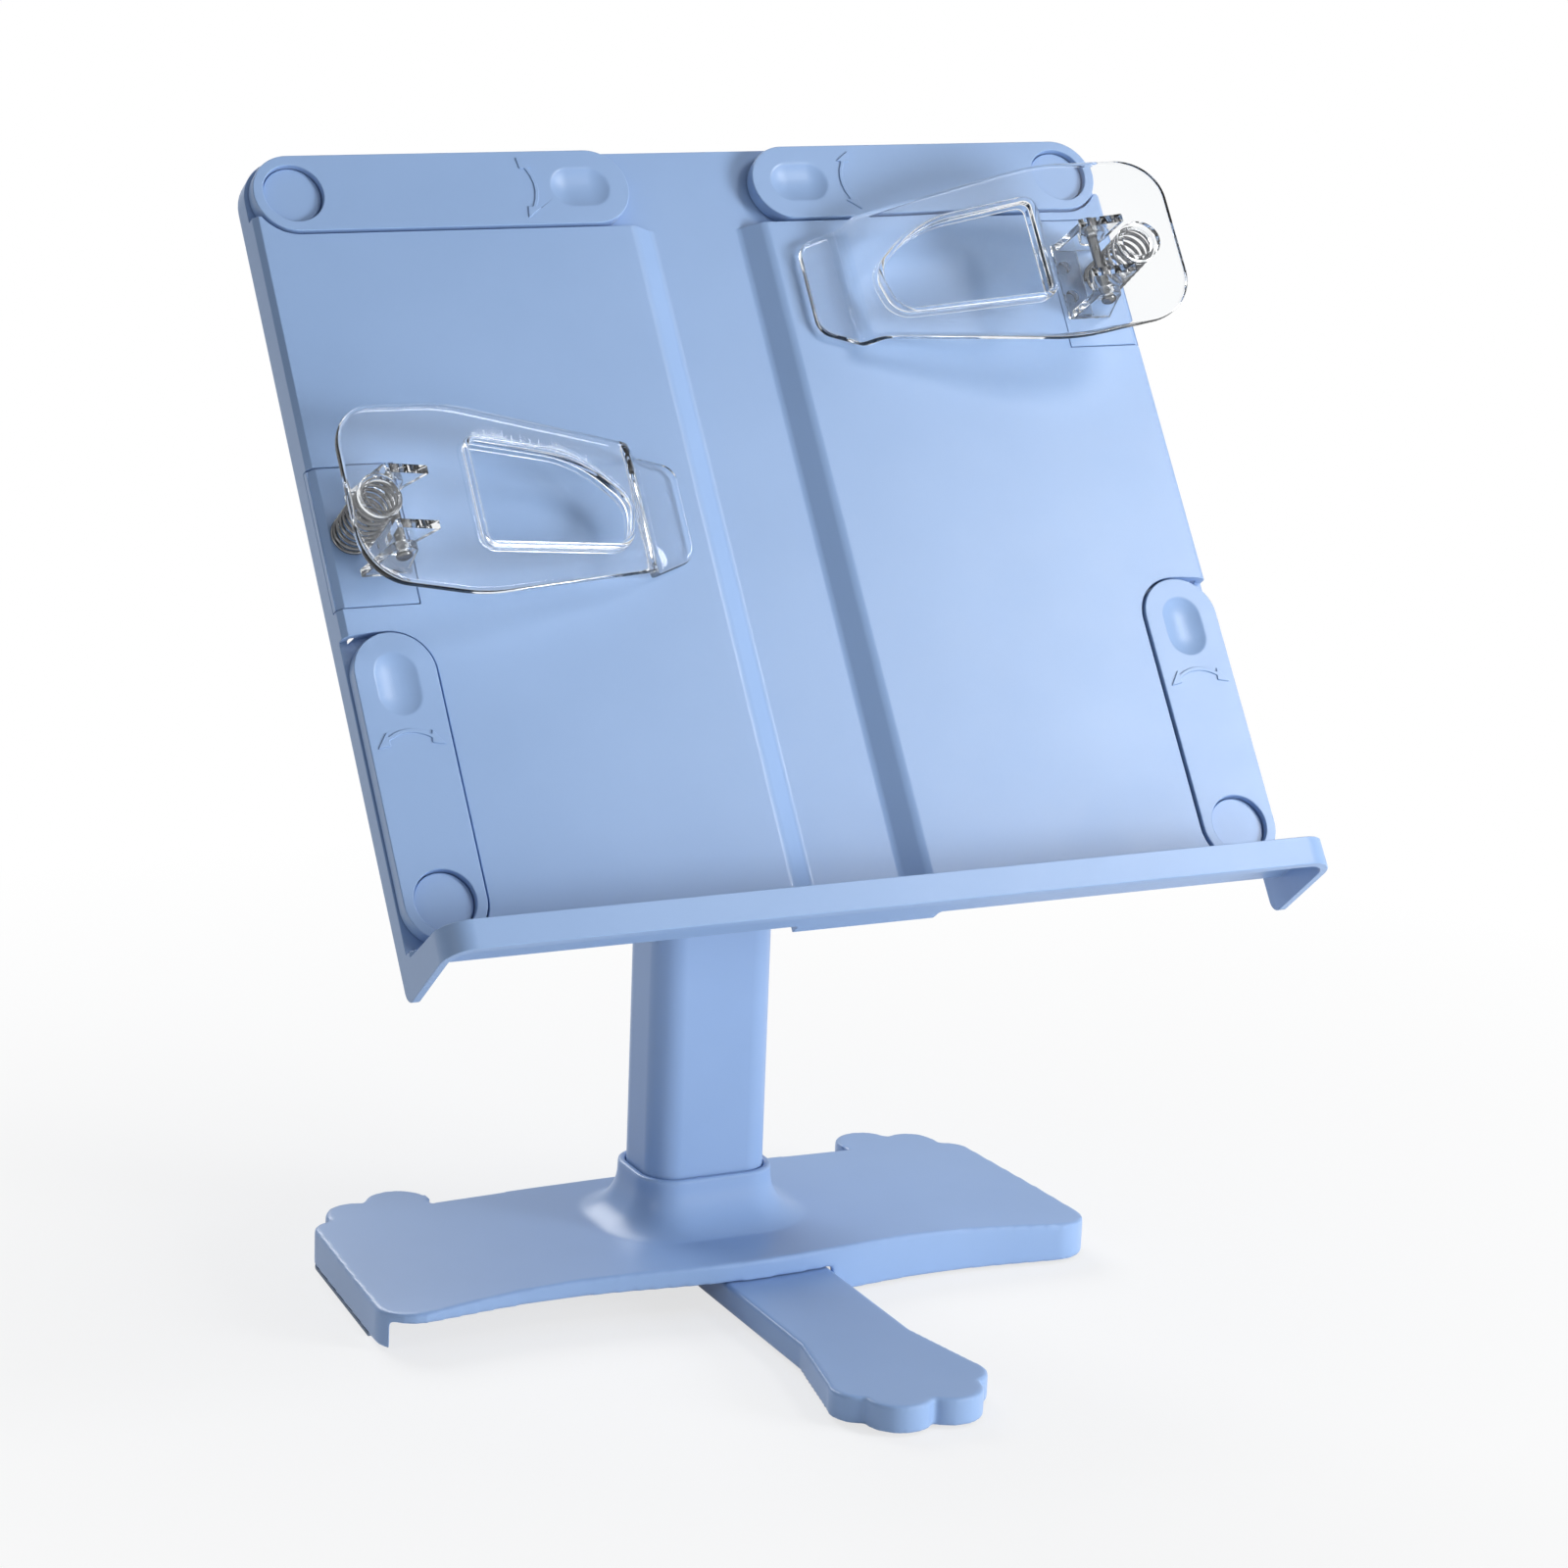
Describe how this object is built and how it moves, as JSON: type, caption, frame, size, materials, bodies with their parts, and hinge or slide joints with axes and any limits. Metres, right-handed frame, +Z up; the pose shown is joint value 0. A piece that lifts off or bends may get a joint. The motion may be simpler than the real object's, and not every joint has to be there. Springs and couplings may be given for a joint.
{
  "type": "book stand",
  "caption": "Desk book stand: tilting board with a ledge, swing-out arms and sprung clear page clips, on a telescoping column over a crowned base with a fold-out leg",
  "frame": {"origin": "middle of the footprint, on the table", "axes": "+Z up, +X to the reader's right, -Y towards the reader"},
  "size_m": [0.285, 0.206, 0.3445],
  "materials": {
    "blue_plastic": "pastel blue moulded plastic, satin",
    "clear_plastic": "clear moulded plastic, glossy",
    "steel": "bright steel",
    "rubber": "dark grey rubber"
  },
  "bodies": {
    "base": {"base_shell": "blue_plastic", "base_feet": "rubber", "leg_pivot_pin": "steel", "outer_column": "blue_plastic", "column_screws": "steel", "column_cap": "blue_plastic"},
    "leg": {"front_leg": "blue_plastic", "leg_foot_pad": "rubber"},
    "height_lock": {"lock_screw": "steel", "lock_knob": "blue_plastic"},
    "lift": {"inner_column": "blue_plastic", "hinge_washers": "steel"},
    "board": {"board": "blue_plastic", "hinge_bracket": "blue_plastic", "bracket_screws": "steel", "arm_studs": "blue_plastic", "stud_rings": "steel", "clip_tile_left": "blue_plastic", "clip_tile_right": "blue_plastic", "clip_tile_screws": "steel", "clip_bracket_left": "clear_plastic", "clip_bracket_right": "clear_plastic", "clip_pin_left": "steel", "clip_pin_right": "steel", "clip_spring_left": "steel", "clip_spring_right": "steel"},
    "tilt_lock": {"hinge_bolt": "steel", "tilt_knob": "blue_plastic"},
    "top_left_arm": {"arm_top_left": "blue_plastic"},
    "top_right_arm": {"arm_top_right": "blue_plastic"},
    "side_left_arm": {"arm_side_left": "blue_plastic"},
    "side_right_arm": {"arm_side_right": "blue_plastic"},
    "left_clip": {"clip_lever_left": "clear_plastic"},
    "right_clip": {"clip_lever_right": "clear_plastic"}
  },
  "joints": [
    {"name": "leg_swing", "type": "hinge", "parent": "base", "child": "leg", "pos_m": [0.0074, 0.02, 0.005], "axis": [0, 0, 1], "range_deg": [-90, 0]},
    {"name": "height_lock_turn", "type": "hinge", "parent": "base", "child": "height_lock", "pos_m": [0, 0.0705, 0.148], "axis": [0, 1, 0], "continuous": true},
    {"name": "height_slide", "type": "slide", "parent": "base", "child": "lift", "axis": [0, 0, 1], "range_m": [-0.06, 0.04]},
    {"name": "board_tilt", "type": "hinge", "parent": "lift", "child": "board", "pos_m": [0, 0.0505, 0.251], "axis": [1, 0, 0], "range_deg": [-44, 26]},
    {"name": "tilt_lock_turn", "type": "hinge", "parent": "board", "child": "tilt_lock", "pos_m": [0, 0.0505, 0.251], "axis": [1, 0, 0], "continuous": true},
    {"name": "top_left_arm_swing", "type": "hinge", "parent": "board", "child": "top_left_arm", "pos_m": [-0.12645, 0.07631, 0.33416], "axis": [0, -0.809, 0.5878], "range_deg": [0, 90]},
    {"name": "top_right_arm_swing", "type": "hinge", "parent": "board", "child": "top_right_arm", "pos_m": [0.12645, 0.07631, 0.33416], "axis": [0, -0.809, 0.5878], "range_deg": [-90, 0]},
    {"name": "side_left_arm_swing", "type": "hinge", "parent": "board", "child": "side_left_arm", "pos_m": [-0.12715, -0.05233, 0.15711], "axis": [0, -0.809, 0.5878], "range_deg": [0, 90]},
    {"name": "side_right_arm_swing", "type": "hinge", "parent": "board", "child": "side_right_arm", "pos_m": [0.12715, -0.05233, 0.15711], "axis": [0, -0.809, 0.5878], "range_deg": [-90, 0]},
    {"name": "left_clip_open", "type": "hinge", "parent": "board", "child": "left_clip", "pos_m": [-0.1235, 0.00112, 0.25449], "axis": [0, 0.5878, 0.809], "range_deg": [-20, 0], "stiffness_Nm_per_rad": 0.3, "springref_deg": 11.46, "deforming": ["clip_spring_left"]},
    {"name": "right_clip_open", "type": "hinge", "parent": "board", "child": "right_clip", "pos_m": [0.1235, 0.04297, 0.31209], "axis": [0, 0.5878, 0.809], "range_deg": [0, 20], "stiffness_Nm_per_rad": 0.3, "springref_deg": -11.46, "deforming": ["clip_spring_right"]}
  ]
}
